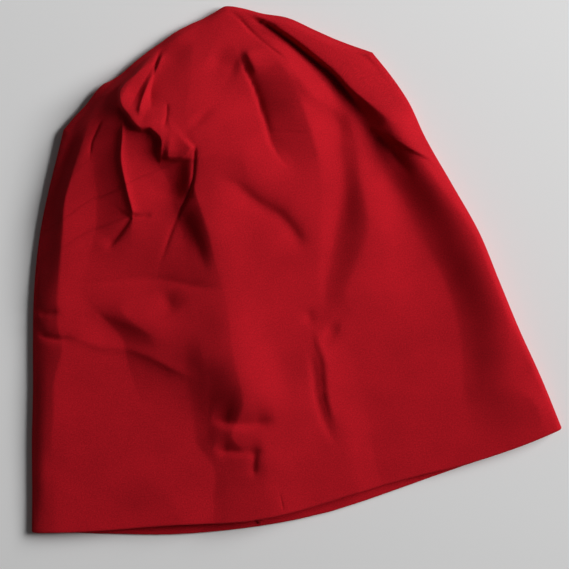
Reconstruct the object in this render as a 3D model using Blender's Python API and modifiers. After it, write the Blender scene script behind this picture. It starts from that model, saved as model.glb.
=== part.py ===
"""A slouchy beanie of double cotton jersey, lying flat on its back.

Lengths are metres. +Y runs from the hem to the crown, +X to the right of the side that shows, and +Z up
from the surface that the hat lies on. The origin is on that surface, under the middle of the hat.
"""

import bpy
import numpy as np
from mathutils import Matrix

# The hat as it lies: the hem's width from fold to fold, the height from the ends of the hem to the tip
# of the crown, and how far the back of the hem bows out past its ends
HEM_WIDTH = 0.250
CROWN_HEIGHT = 0.2216
HEM_BOW = 0.018

# Height of the upper side over the surface where the hat is fullest, and the relief of a fold that the
# fold table's shares are taken of
FULLNESS = 0.0200
FOLD_RELIEF = 0.0100

# The two layers of jersey together
WALL = 0.0015

# Radius of the roll where the cloth turns over at the ends of the hem, at the sides and at the crown.
# It grows from the hem up to the side share, and changes to the crown's from the crown share on
HEM_ROLL = 0.0032
SIDE_ROLL = 0.0050
CROWN_ROLL = 0.0034
SIDE_ROLL_SHARE = 0.30
CROWN_ROLL_SHARE = 0.58
CROWN_ROLL_REACH = 0.20

# How much wider than high the roll is on the left, the place across where that starts and the share over
# which it comes in, the length over which the hat fills beside the roll, and the reach of the roll, in
# its radii, over which the smaller folds die out towards the edge
LEFT_ROLL_STRETCH = 1.2
STRETCH_FROM = 0.45
STRETCH_REACH = 0.20
FILL_LENGTH = 0.0070
EDGE_FADE = 2.2

# The welt of the back seam, on the inner side of the back layer
SEAM_WIDTH = 0.0036
SEAM_THICKNESS = 0.0008
SEAM_GAP = 0.0003
SEAM_ACROSS_HEM = 0.418
SEAM_ACROSS_CROWN = 0.470
SEAM_REACH = 0.90
SEAM_HEM_MARGIN = 0.0012

# Fineness of the shell: cells across and up, and the cells that make the roll along each edge
CELLS_ACROSS = 44
CELLS_UP = 38
ROLL_CELLS = 4
ROLL_SHARE_ACROSS = 0.026
ROLL_SHARE_UP = 0.030
SEAM_CELLS = 30
MERGE = 0.00002
LEAST_SPAN = 0.000001

JERSEY_RED = (0.42, 0.012, 0.024, 1.0)

# Outline, each row a place on one edge. Across is a share of the hem's width, up of the crown's height
LEFT_SIDE = [
    # up, across
    (0.000, 0.000),
    (0.072, 0.013),
    (0.195, 0.034),
    (0.293, 0.053),
    (0.391, 0.070),
    (0.466, 0.083),
    (0.563, 0.104),
    (0.660, 0.132),
    (0.752, 0.173),
    (0.823, 0.202),
]
RIGHT_SIDE = [
    # up, across
    (0.000, 1.000),
    (0.113, 0.980),
    (0.221, 0.957),
    (0.327, 0.938),
    (0.434, 0.919),
    (0.544, 0.887),
    (0.653, 0.855),
    (0.734, 0.837),
    (0.790, 0.816),
    (0.846, 0.790),
]
TOP_EDGE = [
    # across, up
    (0.202, 0.823),
    (0.254, 0.863),
    (0.312, 0.901),
    (0.373, 0.939),
    (0.446, 0.973),
    (0.499, 0.987),
    (0.542, 1.000),
    (0.584, 0.988),
    (0.653, 0.949),
    (0.720, 0.900),
    (0.790, 0.846),
]

# Edges of the mouth, as shares of the hem's bow: the upper side stops short of the lower one
BACK_HEM = [
    # across, bow
    (0.000, 0.00),
    (0.069, 0.19),
    (0.142, 0.42),
    (0.250, 0.74),
    (0.361, 0.93),
    (0.455, 1.00),
    (0.550, 0.97),
    (0.666, 0.76),
    (0.783, 0.51),
    (0.900, 0.28),
    (1.000, 0.00),
]
FRONT_HEM = [
    # across, bow
    (0.000, 0.00),
    (0.110, 0.25),
    (0.247, 0.48),
    (0.412, 0.78),
    (0.496, 0.76),
    (0.592, 0.63),
    (0.727, 0.48),
    (0.800, 0.44),
    (0.900, 0.27),
    (1.000, 0.00),
]

# Form of the upper side. Each line runs from the hem to the crown over these levels, shares of the
# crown's height. It has a place across at each level, a share of the hem's width, and a height there, a
# share of the fullness. The surface passes smoothly from line to line
LEVELS = (-0.05, 0.14, 0.26, 0.38, 0.50, 0.62, 0.73, 0.83, 0.93)
LINES = [
    # name, across, height
    ("left shoulder",
     (0.050, 0.062, 0.085, 0.112, 0.146, 0.178, 0.214, 0.265, 0.380),
     (0.400, 0.455, 0.520, 0.590, 0.670, 0.730, 0.730, 0.730, 0.670)),
    ("left panel",
     (0.180, 0.200, 0.225, 0.215, 0.225, 0.225, 0.240, 0.290, 0.392),
     (0.395, 0.435, 0.475, 0.530, 0.630, 0.720, 0.750, 0.770, 0.710)),
    ("crease left of the knot",
     (0.300, 0.300, 0.300, 0.300, 0.300, 0.296, 0.293, 0.303, 0.404),
     (0.450, 0.430, 0.550, 0.700, 0.680, 0.860, 0.905, 0.870, 0.740)),
    ("hollow beside the middle panel",
     (0.350, 0.340, 0.350, 0.360, 0.383, 0.372, 0.356, 0.352, 0.418),
     (0.445, 0.430, 0.670, 0.760, 0.740, 0.790, 0.850, 0.940, 0.770)),
    ("ridge of the middle panel",
     (0.450, 0.485, 0.435, 0.440, 0.438, 0.434, 0.432, 0.440, 0.468),
     (0.600, 0.790, 0.920, 0.900, 0.960, 0.960, 0.990, 0.995, 0.820)),
    ("fall of the middle panel",
     (0.520, 0.555, 0.535, 0.530, 0.555, 0.545, 0.530, 0.520, 0.495),
     (0.495, 0.560, 0.600, 0.630, 0.660, 0.880, 0.810, 0.820, 0.805)),
    ("narrow valley",
     (0.577, 0.576, 0.576, 0.585, 0.602, 0.605, 0.577, 0.555, 0.515),
     (0.480, 0.545, 0.585, 0.550, 0.630, 0.750, 0.740, 0.770, 0.790)),
    ("ridge from the crown seam",
     (0.593, 0.590, 0.590, 0.600, 0.624, 0.643, 0.640, 0.603, 0.540),
     (0.495, 0.590, 0.605, 0.550, 0.630, 0.770, 0.860, 0.930, 0.770)),
    ("valley between the ridges",
     (0.655, 0.655, 0.640, 0.630, 0.664, 0.684, 0.690, 0.645, 0.570),
     (0.395, 0.460, 0.500, 0.465, 0.490, 0.620, 0.700, 0.850, 0.695)),
    ("second ridge",
     (0.730, 0.710, 0.680, 0.668, 0.706, 0.722, 0.718, 0.665, 0.596),
     (0.405, 0.400, 0.450, 0.530, 0.635, 0.690, 0.630, 0.750, 0.610)),
    ("deep valley",
     (0.880, 0.858, 0.856, 0.845, 0.815, 0.766, 0.737, 0.683, 0.617),
     (0.370, 0.280, 0.260, 0.250, 0.280, 0.420, 0.500, 0.570, 0.520)),
    ("crest of the right roll",
     (0.962, 0.928, 0.922, 0.906, 0.882, 0.834, 0.784, 0.726, 0.650),
     (0.430, 0.450, 0.520, 0.580, 0.640, 0.670, 0.670, 0.670, 0.590)),
    ("foot of the right roll",
     (0.972, 0.950, 0.932, 0.914, 0.889, 0.854, 0.836, 0.780, 0.690),
     (0.420, 0.445, 0.515, 0.575, 0.640, 0.570, 0.450, 0.420, 0.420)),
]

# Smaller folds on that form. Each runs from its lower or left end over its middle to its other end, at
# (across, up). Relief is its height as a share of the fold relief, below zero for a valley. Left and right
# are how far its flanks reach, as shares of half the hem's width, and round is how blunt its line is
FOLDS = [
    # name, lower end, middle, upper end, relief, left, right, round
    ("knot of the crown", (0.335, 0.795), (0.352, 0.860), (0.415, 0.950), 0.40, 0.044, 0.060, 0.7),
    ("dip under the knot", (0.366, 0.690), (0.345, 0.755), (0.308, 0.830), -0.28, 0.046, 0.040, 0.7),
    ("valley by the left shoulder", (0.125, 0.520), (0.185, 0.725), (0.310, 0.892), -0.28, 0.040, 0.036, 0.6),
    ("slanting hollow", (0.585, 0.480), (0.532, 0.585), (0.455, 0.665), -0.32, 0.056, 0.044, 0.6),
    ("crease across the left", (0.130, 0.490), (0.290, 0.477), (0.460, 0.412), -0.14, 0.044, 0.044, 0.5),
    ("upper slanting step", (0.200, 0.440), (0.255, 0.388), (0.340, 0.318), 0.20, 0.060, 0.040, 0.5),
    ("lower slanting step", (0.110, 0.395), (0.240, 0.343), (0.385, 0.245), 0.18, 0.050, 0.040, 0.5),
    ("lobe beside the dimple", (0.385, 0.122), (0.430, 0.132), (0.495, 0.128), 0.14, 0.040, 0.040, 0.6),
]
FOLD_STEPS = 24
OUTLINE_STEPS = 120
FOLD_FADE = 0.30


def smooth(table, at):
    """Smooth curve through a table's rows: cubic pieces whose slopes are those of their neighbours."""
    place, value = np.array(table).T
    slope = np.gradient(value, place)
    low = np.clip(np.searchsorted(place, at) - 1, 0, len(place) - 2)
    span = place[low + 1] - place[low]
    q = (at - place[low]) / span
    start = (1 + 2 * q) * (1 - q) ** 2 * value[low] + q * (1 - q) ** 2 * span * slope[low]
    end = q ** 2 * (3 - 2 * q) * value[low + 1] + q ** 2 * (q - 1) * span * slope[low + 1]
    return start + end


def ease(value):
    """0 below 0, 1 above 1, and a smooth step between them."""
    value = np.clip(value, 0, 1)
    return value * value * (3 - 2 * value)


def left_edge(t):
    up = t * LEFT_SIDE[-1][0]
    return np.stack([smooth(LEFT_SIDE, up) * HEM_WIDTH, up * CROWN_HEIGHT], -1)


def right_edge(t):
    up = t * RIGHT_SIDE[-1][0]
    return np.stack([smooth(RIGHT_SIDE, up) * HEM_WIDTH, up * CROWN_HEIGHT], -1)


def top_edge(s):
    across = TOP_EDGE[0][0] + s * (TOP_EDGE[-1][0] - TOP_EDGE[0][0])
    return np.stack([across * HEM_WIDTH, smooth(TOP_EDGE, across) * CROWN_HEIGHT], -1)


def hem_edge(s, table):
    return np.stack([s * HEM_WIDTH, -smooth(table, s) * HEM_BOW], -1)


def plan(s, t, hem):
    """Place in the plan of one layer, at s across and t up: its four edges blended into one patch."""
    s1, t1 = s[..., None], t[..., None]
    zero, one = np.zeros_like(s), np.ones_like(s)
    sides = (1 - s1) * left_edge(t) + s1 * right_edge(t)
    ends = (1 - t1) * hem_edge(s, hem) + t1 * top_edge(s)
    low = (1 - s1) * left_edge(zero) + s1 * right_edge(zero)
    high = (1 - s1) * left_edge(one) + s1 * right_edge(one)
    return sides + ends - (1 - t1) * low - t1 * high


def distance_to(points, path):
    """Distance from each point to a path of straight steps, the share of the path where it is
    shortest, and the side it lies on: 1 on the right of the path's direction, -1 on the left."""
    start, step = path[:-1], np.diff(path, axis=0)
    away = points[:, None, :] - start[None]
    along = np.clip((away * step).sum(-1) / (step ** 2).sum(-1), 0, 1)
    gap = away - along[..., None] * step
    length = np.sqrt((gap ** 2).sum(-1))
    best = length.argmin(1)
    row = np.arange(len(points))
    turn = step[best, 1] * gap[row, best, 0] - step[best, 0] * gap[row, best, 1]
    return length[row, best], (best + along[row, best]) / len(step), np.where(turn < 0, -1.0, 1.0)


def outline():
    """The folded edge of the hat, from the left end of the hem over the crown to the right end."""
    t = np.linspace(0, 1, OUTLINE_STEPS)
    return np.concatenate([left_edge(t), top_edge(t)[1:], right_edge(t[::-1])[1:]])


def fold_relief(points):
    """Sum of the folds: each is relief * exp(-(sqrt(q^2 + round^2) - round)), where q is the distance
    from its line over its reach on that side, and it fades towards both ends of the line."""
    size = np.array([HEM_WIDTH, CROWN_HEIGHT])
    share = np.linspace(0, 1, FOLD_STEPS)[:, None]
    total = np.zeros(len(points))
    for _, low, middle, high, relief, left, right, blunt in FOLDS:
        low, middle, high = (np.array(p) * size for p in (low, middle, high))
        bend = 2 * middle - (low + high) / 2
        path = (1 - share) ** 2 * low + 2 * share * (1 - share) * bend + share ** 2 * high
        length, along, side = distance_to(points, path)
        reach = np.where(side < 0, left, right) * HEM_WIDTH / 2
        q = length / reach
        fade = ease(along / FOLD_FADE) * ease((1 - along) / FOLD_FADE)
        total += relief * FOLD_RELIEF * fade * np.exp(blunt - np.sqrt(q ** 2 + blunt ** 2))
    return total


def roll_radius(up):
    side = HEM_ROLL + (SIDE_ROLL - HEM_ROLL) * ease(up / SIDE_ROLL_SHARE)
    return side + (CROWN_ROLL - SIDE_ROLL) * ease((up - CROWN_ROLL_SHARE) / CROWN_ROLL_REACH)


def form_height(across, up):
    """Height of the upper side without its edge and its smaller folds. Between two neighbouring lines it
    is a cubic piece. Its slope at a line is the mean of the slopes on both sides, or level where the line
    is a ridge or a valley."""
    left = smooth(LEFT_SIDE, np.clip(up, 0, LEFT_SIDE[-1][0]))
    right = smooth(RIGHT_SIDE, np.clip(up, 0, RIGHT_SIDE[-1][0]))
    level = np.clip(up, LEVELS[0], LEVELS[-1])
    edge = 2 * roll_radius(up)
    place = [smooth(list(zip(LEVELS, across_row)), level) for _, across_row, _ in LINES]
    height = [smooth(list(zip(LEVELS, height_row)), level) * FULLNESS for _, _, height_row in LINES]
    place = np.maximum.accumulate(np.array([left, *place, right]), axis=0)
    height = np.array([edge, *height, edge])
    span = np.maximum(np.diff(place, axis=0), LEAST_SPAN)
    rise = np.diff(height, axis=0) / span
    low = np.clip((across[None] > place).sum(0) - 1, 0, len(span) - 1)
    column = np.arange(len(across))
    before, after = rise[np.maximum(low - 1, 0), column], rise[np.minimum(low + 1, len(span) - 1), column]
    here, width, start = rise[low, column], span[low, column], height[low, column]
    slope_in = np.where(before * here > 0, (before + here) / 2, 0)
    slope_out = np.where(here * after > 0, (here + after) / 2, 0)
    q = np.clip((across - place[low, column]) / width, 0, 1)
    step = here * q ** 2 * (3 - 2 * q) + slope_in * q * (1 - q) ** 2 + slope_out * q ** 2 * (q - 1)
    return start + width * step


def front_height(points, inset):
    """Height of the upper side: it turns over in a half round at the edge, passes into its form over the
    fill length, and carries the smaller folds."""
    across, up = points[:, 0] / HEM_WIDTH, points[:, 1] / CROWN_HEIGHT
    radius = roll_radius(up)
    stretch = 1 + LEFT_ROLL_STRETCH * ease((STRETCH_FROM - across) / STRETCH_REACH)
    turn = np.clip(1 - inset / (radius * stretch), 0, 1)
    fill = 1 - np.exp(-np.maximum(inset - radius / 2, 0) / FILL_LENGTH)
    height = radius * (1 + np.sqrt(1 - turn ** 2)) + (form_height(across, up) - 2 * radius) * fill
    return height + fold_relief(points) * ease((inset - radius / 2) / (EDGE_FADE * radius))


def back_height(points, inset):
    """Height of the lower side: the lower half of the round at the edge, and flat on the surface."""
    radius = roll_radius(points[:, 1] / CROWN_HEIGHT)
    turn = np.clip(1 - inset / radius, 0, 1)
    return radius * (1 - np.sqrt(1 - turn ** 2))


def crowd(share, cells, roll, both):
    """Even steps made closer towards the end of the grid, or both ends, where the cloth turns over."""
    step = share * cells
    end = (step - (cells - ROLL_CELLS)) / ROLL_CELLS
    start = step / ROLL_CELLS if both else np.full_like(step, 1.0)
    near = roll * start ** 2
    far = 1 - roll * (1 - end) ** 2
    first = ROLL_CELLS if both else 0
    even = (step - first) / (cells - ROLL_CELLS - first)
    low = roll if both else 0
    middle = low + (1 - roll - low) * even
    return np.where(start < 1, near, np.where(end > 0, far, middle))


def jersey(name):
    material = bpy.data.materials.new(name)
    material.use_nodes = True
    shader = material.node_tree.nodes["Principled BSDF"]
    shader.inputs["Base Color"].default_value = JERSEY_RED
    shader.inputs["Roughness"].default_value = 0.9
    shader.inputs["Metallic"].default_value = 0.0
    material.diffuse_color = JERSEY_RED
    return material


def add_grid(name, cells_across, cells_up):
    """A flat grid from 0 to 1 each way, and its points as an array."""
    bpy.ops.mesh.primitive_grid_add(x_subdivisions=cells_across, y_subdivisions=cells_up, size=1)
    grid = bpy.context.object
    grid.name = name
    place = np.empty(len(grid.data.vertices) * 3)
    grid.data.vertices.foreach_get("co", place)
    return grid, np.round(place.reshape(-1, 3) + 0.5, 6)


def set_points(item, points):
    item.data.vertices.foreach_set("co", np.ascontiguousarray(points).ravel())
    item.data.update()


def layer_points(place, hem, height):
    s = crowd(place[:, 0], CELLS_ACROSS, ROLL_SHARE_ACROSS, True)
    t = crowd(place[:, 1], CELLS_UP, ROLL_SHARE_UP, False)
    flat = plan(s, t, hem)
    folded = (s <= 0) | (s >= 1) | (t >= 1)
    inset = np.where(folded, 0.0, distance_to(flat, outline())[0])
    return np.column_stack([flat, height(flat, inset)])


def select_only(items):
    bpy.ops.object.select_all(action="DESELECT")
    for item in items:
        item.select_set(True)
    bpy.context.view_layer.objects.active = items[0]


def build_shell():
    """Front and back layer share the folded edge and are open at the hem. Solidify gives the wall."""
    front, place = add_grid("jersey_shell", CELLS_ACROSS, CELLS_UP)
    set_points(front, layer_points(place, FRONT_HEM, front_height))
    back, place = add_grid("back_layer", CELLS_ACROSS, CELLS_UP)
    set_points(back, layer_points(place, BACK_HEM, back_height))
    back.data.flip_normals()
    select_only([front, back])
    bpy.ops.object.join()
    shell = bpy.context.object
    weld = shell.modifiers.new("folded edge", "WELD")
    weld.merge_threshold = MERGE
    wall = shell.modifiers.new("wall", "SOLIDIFY")
    wall.thickness = WALL
    wall.offset = -1
    wall.use_even_offset = True
    wall.use_quality_normals = True
    shell.data.shade_smooth()
    return shell


def build_back_seam():
    """A flat strip up the inner side of the back layer, on its own clearance."""
    seam, place = add_grid("back_seam", 2, SEAM_CELLS)
    t = place[:, 1] * SEAM_REACH
    s = SEAM_ACROSS_HEM + (SEAM_ACROSS_CROWN - SEAM_ACROSS_HEM) * t
    line = plan(s, t, BACK_HEM)
    start = SEAM_HEM_MARGIN * (1 - place[:, 1])
    x = line[:, 0] + (place[:, 0] - 0.5) * SEAM_WIDTH
    z = np.full(len(x), WALL + SEAM_GAP)
    set_points(seam, np.column_stack([x, line[:, 1] + start, z]))
    welt = seam.modifiers.new("welt", "SOLIDIFY")
    welt.thickness = SEAM_THICKNESS
    welt.offset = 1
    seam.data.shade_smooth()
    return seam


def main():
    for item in list(bpy.data.objects):
        bpy.data.objects.remove(item, do_unlink=True)
    collection = bpy.data.collections.new("beanie")
    bpy.context.scene.collection.children.link(collection)
    shell = build_shell()
    seam = build_back_seam()
    points = np.array([v.co for v in shell.data.vertices])
    middle = (points.min(0) + points.max(0)) / 2
    for item in (shell, seam):
        item.data.materials.append(jersey(item.name))
        item.data.transform(Matrix.Translation((-middle[0], -middle[1], 0)))
        for holder in list(item.users_collection):
            holder.objects.unlink(item)
        collection.objects.link(item)


main()
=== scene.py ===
# %% [markdown]
# # A slouchy beanie of double cotton jersey
#
# The hat is one tube of thin knitted cloth. It is turned in at the hem, so that two layers lie on each
# other, and it is drawn in at the crown. It lies on its back on a table, and what makes it look like cloth
# is the way it fell: broad folds that run from the crown down to the hem, a knot of pleats near the top,
# and shallow creases across the side.
#
# A cloth simulation would fold a tube too, but it would fold it in its own way. Here the folds are read off
# the real one, so the hat is worked out as a surface: a height over a plan. The CAD model
# has the same form with coarse cells. This script makes the fine one that stands for it.

import bpy
import numpy as np
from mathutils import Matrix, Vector


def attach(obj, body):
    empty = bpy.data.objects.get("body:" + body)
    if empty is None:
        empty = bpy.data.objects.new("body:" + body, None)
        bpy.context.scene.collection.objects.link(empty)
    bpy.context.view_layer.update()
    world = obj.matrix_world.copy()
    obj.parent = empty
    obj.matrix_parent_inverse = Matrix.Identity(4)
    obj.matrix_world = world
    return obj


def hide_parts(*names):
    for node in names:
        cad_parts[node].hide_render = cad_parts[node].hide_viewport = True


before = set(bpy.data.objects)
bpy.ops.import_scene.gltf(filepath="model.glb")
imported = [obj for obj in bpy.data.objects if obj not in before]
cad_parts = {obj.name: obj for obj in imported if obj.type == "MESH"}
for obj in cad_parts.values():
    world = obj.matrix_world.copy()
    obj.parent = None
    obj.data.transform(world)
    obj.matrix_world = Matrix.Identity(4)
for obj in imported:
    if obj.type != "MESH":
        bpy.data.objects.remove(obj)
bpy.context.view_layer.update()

# %% [markdown]
# ## Sizes
#
# Lengths are metres. Places on the hat are shares: across is a share of the hem's width, and up is a share
# of the crown's height, so a table of them reads like a sketch on squared paper. The cloth is two layers of
# jersey, 1.5 mm together, and it turns over at the sides in a soft roll, and not in a pressed edge: the round
# of the roll is ROLL_WIDTH wide in the plan, and beside it the cloth reaches its height over FILL_LENGTH.
# Where the layers nearly touch, the hollow between them is still LEAST_HOLLOW high.

# %% Sizes of the hat
HEM_WIDTH = 0.250
CROWN_HEIGHT = 0.2216
HEM_BOW = 0.018
WALL = 0.0015
LEAST_HOLLOW = 0.0002
ROLL_WIDTH = 0.0028
FILL_LENGTH = 0.0016
SIZE = np.array([HEM_WIDTH, CROWN_HEIGHT])
MM = 0.001

# %% [markdown]
# ## The outline
#
# The folded edge of the tube is the outline of the hat. Four curves make it: the left side, the right side,
# the crown, and the hem, which the upper layer leaves a little shorter than the lower one, so that a strip
# of the inside shows. A smooth curve goes through the rows of each table.

# %% Outline tables
LEFT_SIDE = [
    # up, across
    (0.000, 0.000), (0.072, 0.013), (0.195, 0.034), (0.293, 0.053), (0.391, 0.070),
    (0.466, 0.084), (0.550, 0.104), (0.620, 0.125), (0.690, 0.151), (0.755, 0.178), (0.812, 0.2015),
]
RIGHT_SIDE = [
    # up, across
    (0.000, 1.000), (0.113, 0.980), (0.221, 0.957), (0.327, 0.938), (0.434, 0.919),
    (0.544, 0.887), (0.653, 0.855), (0.734, 0.837), (0.790, 0.816), (0.846, 0.790),
]
TOP_EDGE = [
    # across, up
    (0.2015, 0.812), (0.227, 0.835), (0.254, 0.857), (0.272, 0.876), (0.289, 0.889), (0.306, 0.894),
    (0.329, 0.905), (0.353, 0.921), (0.382, 0.938), (0.408, 0.951), (0.439, 0.967), (0.469, 0.977),
    (0.509, 0.988), (0.529, 0.997), (0.538, 1.000), (0.549, 0.998), (0.566, 0.991), (0.605, 0.970),
    (0.649, 0.951), (0.694, 0.915), (0.728, 0.888), (0.790, 0.846),
]
BACK_HEM = [
    # across, bow
    (0.000, 0.00), (0.069, 0.19), (0.142, 0.42), (0.250, 0.74), (0.361, 0.93), (0.455, 1.00),
    (0.550, 0.97), (0.666, 0.76), (0.783, 0.51), (0.900, 0.28), (1.000, 0.00),
]
FRONT_HEM = [
    # across, bow
    (0.000, 0.00), (0.110, 0.25), (0.247, 0.48), (0.412, 0.78), (0.496, 0.76),
    (0.592, 0.63), (0.727, 0.48), (0.800, 0.44), (0.900, 0.27), (1.000, 0.00),
]

# %% Smooth curves and the plan


def smooth(table, at):
    """Smooth curve through a table: cubic pieces whose slope at a row is that of its neighbours."""
    place, value = np.array(table).T
    slope = np.gradient(value, place)
    low = np.clip(np.searchsorted(place, at) - 1, 0, len(place) - 2)
    span = place[low + 1] - place[low]
    q = (at - place[low]) / span
    start = (1 + 2 * q) * (1 - q) ** 2 * value[low] + q * (1 - q) ** 2 * span * slope[low]
    end = q ** 2 * (3 - 2 * q) * value[low + 1] + q ** 2 * (q - 1) * span * slope[low + 1]
    return start + end


def ease(value):
    """0 below 0, 1 above 1, and 3 v^2 - 2 v^3 between them."""
    value = np.clip(value, 0, 1)
    return value * value * (3 - 2 * value)


def side_edge(table, t):
    """Places up one side: up is the share t of the table's last row, and across is its smooth curve there."""
    up = t * table[-1][0]
    return np.stack([smooth(table, up) * HEM_WIDTH, up * CROWN_HEIGHT], -1)


def top_edge(s):
    """Places on the crown: across is the share s of the table's span, and up is its smooth curve there."""
    across = TOP_EDGE[0][0] + s * (TOP_EDGE[-1][0] - TOP_EDGE[0][0])
    return np.stack([across * HEM_WIDTH, smooth(TOP_EDGE, across) * CROWN_HEIGHT], -1)


def hem_edge(s, table):
    """Places on a hem: it bows down from the line between its ends by a share of HEM_BOW."""
    return np.stack([s * HEM_WIDTH, -smooth(table, s) * HEM_BOW], -1)


def plan(s, t, hem):
    """Place in the plan at s across and t up: the blend of two sides, plus the blend of hem and crown,
    less the blend of the four corners."""
    s1, t1 = s[..., None], t[..., None]
    zero, one = np.zeros_like(s), np.ones_like(s)
    sides = (1 - s1) * side_edge(LEFT_SIDE, t) + s1 * side_edge(RIGHT_SIDE, t)
    ends = (1 - t1) * hem_edge(s, hem) + t1 * top_edge(s)
    low = (1 - s1) * side_edge(LEFT_SIDE, zero) + s1 * side_edge(RIGHT_SIDE, zero)
    high = (1 - s1) * side_edge(LEFT_SIDE, one) + s1 * side_edge(RIGHT_SIDE, one)
    return sides + ends - (1 - t1) * low - t1 * high


OUTLINE_STEPS = 90
share = np.linspace(0, 1, OUTLINE_STEPS)
OUTLINE = np.concatenate([
    side_edge(LEFT_SIDE, share), top_edge(share)[1:], side_edge(RIGHT_SIDE, share[::-1])[1:]])
print("outline", OUTLINE.shape[0], "points, from", OUTLINE.min(0), "to", OUTLINE.max(0))

# %% [markdown]
# ## The broad form
#
# The front of the hat isn't flat. It rises and falls in folds that run from the crown to the hem, and each
# one bends and changes its height on the way. So the form is drawn as the lines of those folds, ridges and
# valleys in turn. A line has a row for each place along it: how far up, how far across, and how high over
# the table in millimetres. Between two neighbouring lines the cloth passes in a cubic curve. Sharpness says
# how much of a crease a line is: 0 is a round ridge, and 1 is a fold with an edge.
#
# Beyond the first and the last line comes the roll at the folded edge. It lies nearly flat on the left, and
# stands up to 11 mm high on the right, where it throws the shadow into the deep valley beside it.
#
# Noise could make folds much faster, but it would make other folds than this hat's.

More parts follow.
